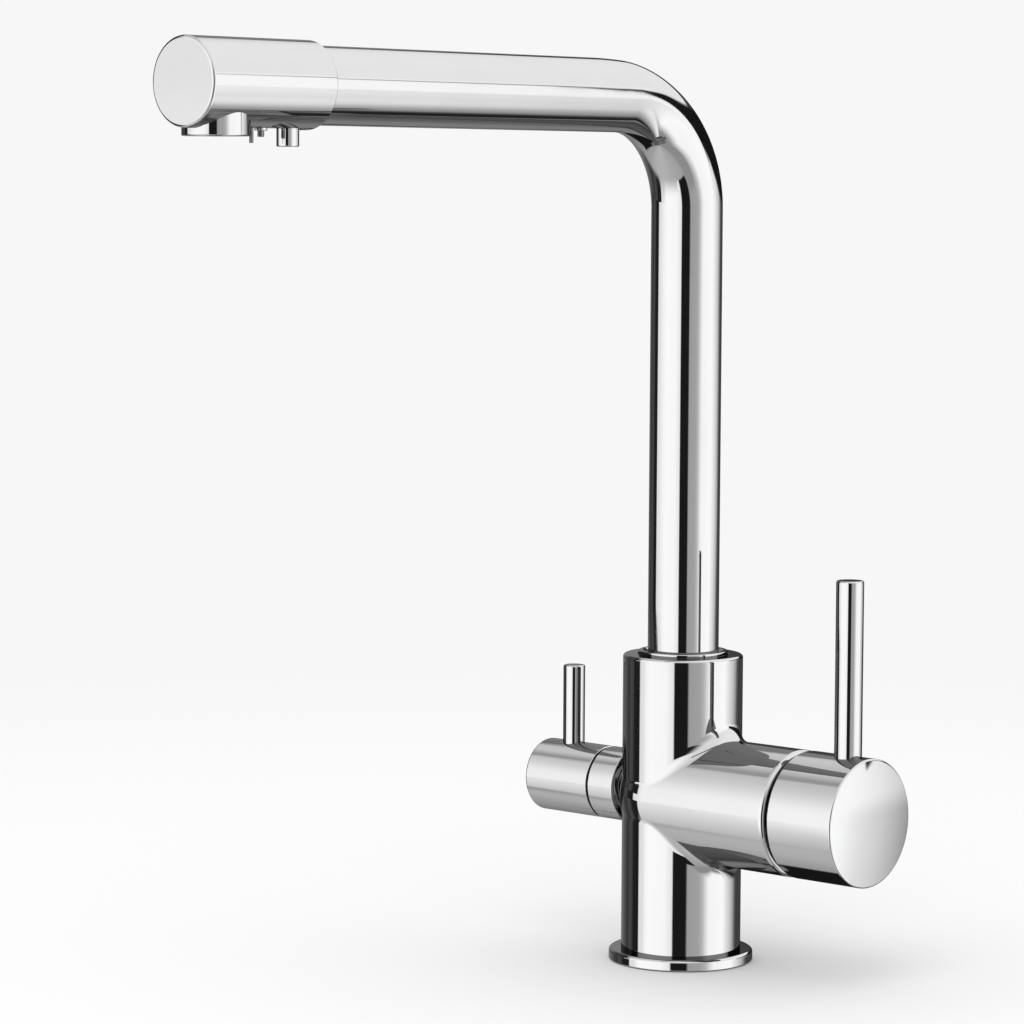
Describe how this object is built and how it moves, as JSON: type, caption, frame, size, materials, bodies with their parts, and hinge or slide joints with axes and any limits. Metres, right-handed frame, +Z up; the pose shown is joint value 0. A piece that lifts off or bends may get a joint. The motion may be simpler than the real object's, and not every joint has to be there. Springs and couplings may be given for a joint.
{
  "type": "three way filtered water tap",
  "caption": "Chrome deck kitchen tap: swivelling L-shaped spout with aerator and filtered water nozzle, single-lever mixer on one side, quarter-turn filter valve on the other.",
  "frame": {"origin": "middle of the foot on the column's axis, at the level of the worktop", "axes": "+Z up along the column, the spout points to -Y at rest, the mixer lever is on +X and the filter lever on -X"},
  "size_m": [0.154, 0.2729, 0.3302],
  "materials": {
    "chrome": "polished chrome plate",
    "brass": "bare machined brass",
    "steel": "plain stainless steel",
    "rubber": "black moulded rubber",
    "ceramic": "lapped ceramic",
    "black_plastic": "moulded plastic",
    "white_plastic": "moulded plastic"
  },
  "bodies": {
    "tap_body": {"body_casting": "chrome", "base_flange": "chrome", "base_gasket": "rubber", "glide_ring": "chrome", "hot_port_seal": "rubber", "cold_port_seal": "rubber", "mixed_port_seal": "rubber", "cartridge_body": "black_plastic", "fixed_disc": "ceramic", "retaining_nut": "brass", "dome_cover": "chrome", "filter_sleeve": "chrome", "filter_valve_body": "brass", "filter_valve_seal": "rubber", "filter_fixed_disc": "ceramic"},
    "spout": {"spout_tube": "chrome", "filtered_water_tube": "white_plastic", "spout_bush": "brass", "spout_seal_1": "rubber", "spout_seal_2": "rubber", "spout_head": "chrome", "head_core": "brass", "head_screw": "steel", "head_pin": "steel", "aerator_washer": "rubber", "aerator_ring": "chrome", "aerator_insert": "white_plastic", "filter_nozzle": "chrome", "nozzle_liner": "white_plastic"},
    "cartridge_rotor": {"cartridge_carrier": "white_plastic", "pivot_pin": "steel"},
    "mixing_disc": {"moving_disc": "ceramic"},
    "mixer_lever_unit": {"mixer_stem": "brass", "mixer_handle": "chrome", "mixer_lever": "chrome", "mixer_grub_screw": "steel", "mixer_grub_plug": "white_plastic"},
    "filter_knob": {"filter_moving_disc": "ceramic", "filter_spindle": "brass", "filter_handle": "chrome", "filter_lever": "chrome", "filter_grub_screw": "steel"}
  },
  "joints": [
    {"name": "spout_swivel", "type": "hinge", "parent": "tap_body", "child": "spout", "pos_m": [0, 0, 0.09], "axis": [0, 0, 1], "continuous": true},
    {"name": "mixer_temperature", "type": "hinge", "parent": "tap_body", "child": "cartridge_rotor", "pos_m": [0.0402, 0, 0.06], "axis": [1, 0, 0], "range_deg": [-50, 50]},
    {"name": "mixer_flow", "type": "hinge", "parent": "cartridge_rotor", "child": "mixer_lever_unit", "pos_m": [0.0402, 0, 0.06], "axis": [0, 1, 0], "range_deg": [0, 25]},
    {"name": "disc_slide", "type": "slide", "parent": "cartridge_rotor", "child": "mixing_disc", "axis": [0, 0, 1], "range_m": [0, 0.0028]},
    {"name": "filter_turn", "type": "hinge", "parent": "tap_body", "child": "filter_knob", "pos_m": [-0.0535, 0, 0.0615], "axis": [1, 0, 0], "range_deg": [0, 90]}
  ],
  "couplings": [
    {"joint": "disc_slide", "follows": "mixer_flow", "m_per_rad": 0.0064}
  ]
}
